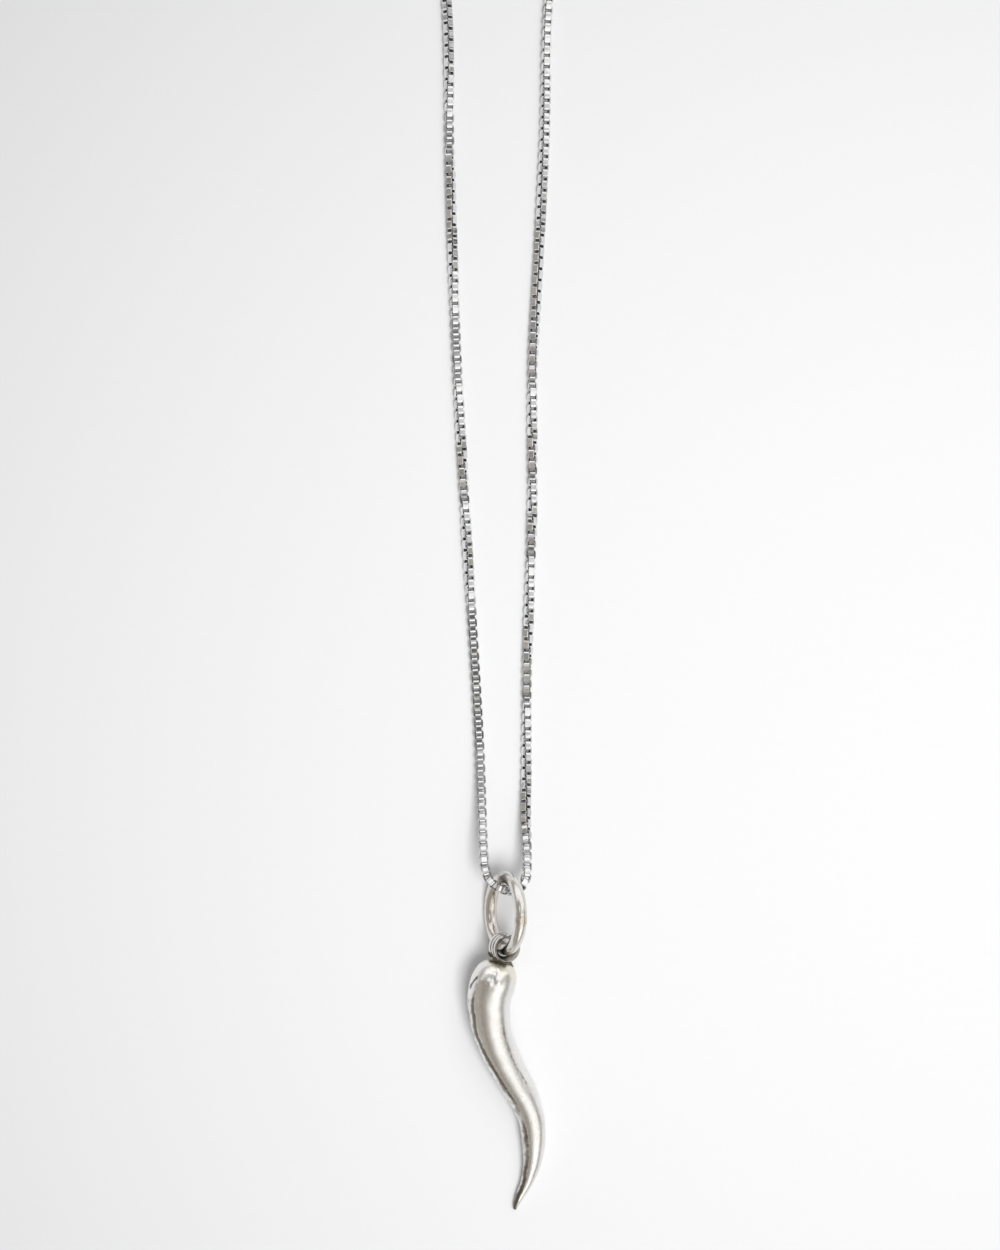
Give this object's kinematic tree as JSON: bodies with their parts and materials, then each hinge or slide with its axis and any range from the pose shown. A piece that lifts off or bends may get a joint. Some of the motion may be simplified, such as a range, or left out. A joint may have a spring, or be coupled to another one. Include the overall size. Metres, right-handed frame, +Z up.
{
  "type": "horn pendant necklace",
  "caption": "S-curved silver horn pendant with a soldered eye, hung by a round jump ring on a fine box chain with a spring-ring clasp, laid flat.",
  "frame": {"origin": "on the table under the middle of the whole necklace", "axes": "+X to the right across the neck loop, +Y from the horn's tip towards the clasp, +Z up off the table"},
  "size_m": [0.0454, 0.2458, 0.0083],
  "materials": {
    "horn_silver": "polished cast silver, finely scratched, darker in the crevices",
    "ring_silver": "polished silver wire, lightly tarnished",
    "chain_silver": "bright diamond-cut silver",
    "clasp_silver": "polished silver"
  },
  "bodies": {
    "root": {"horn": "horn_silver", "jump_ring": "ring_silver", "chain": "chain_silver", "clasp": "clasp_silver"}
  },
  "joints": []
}
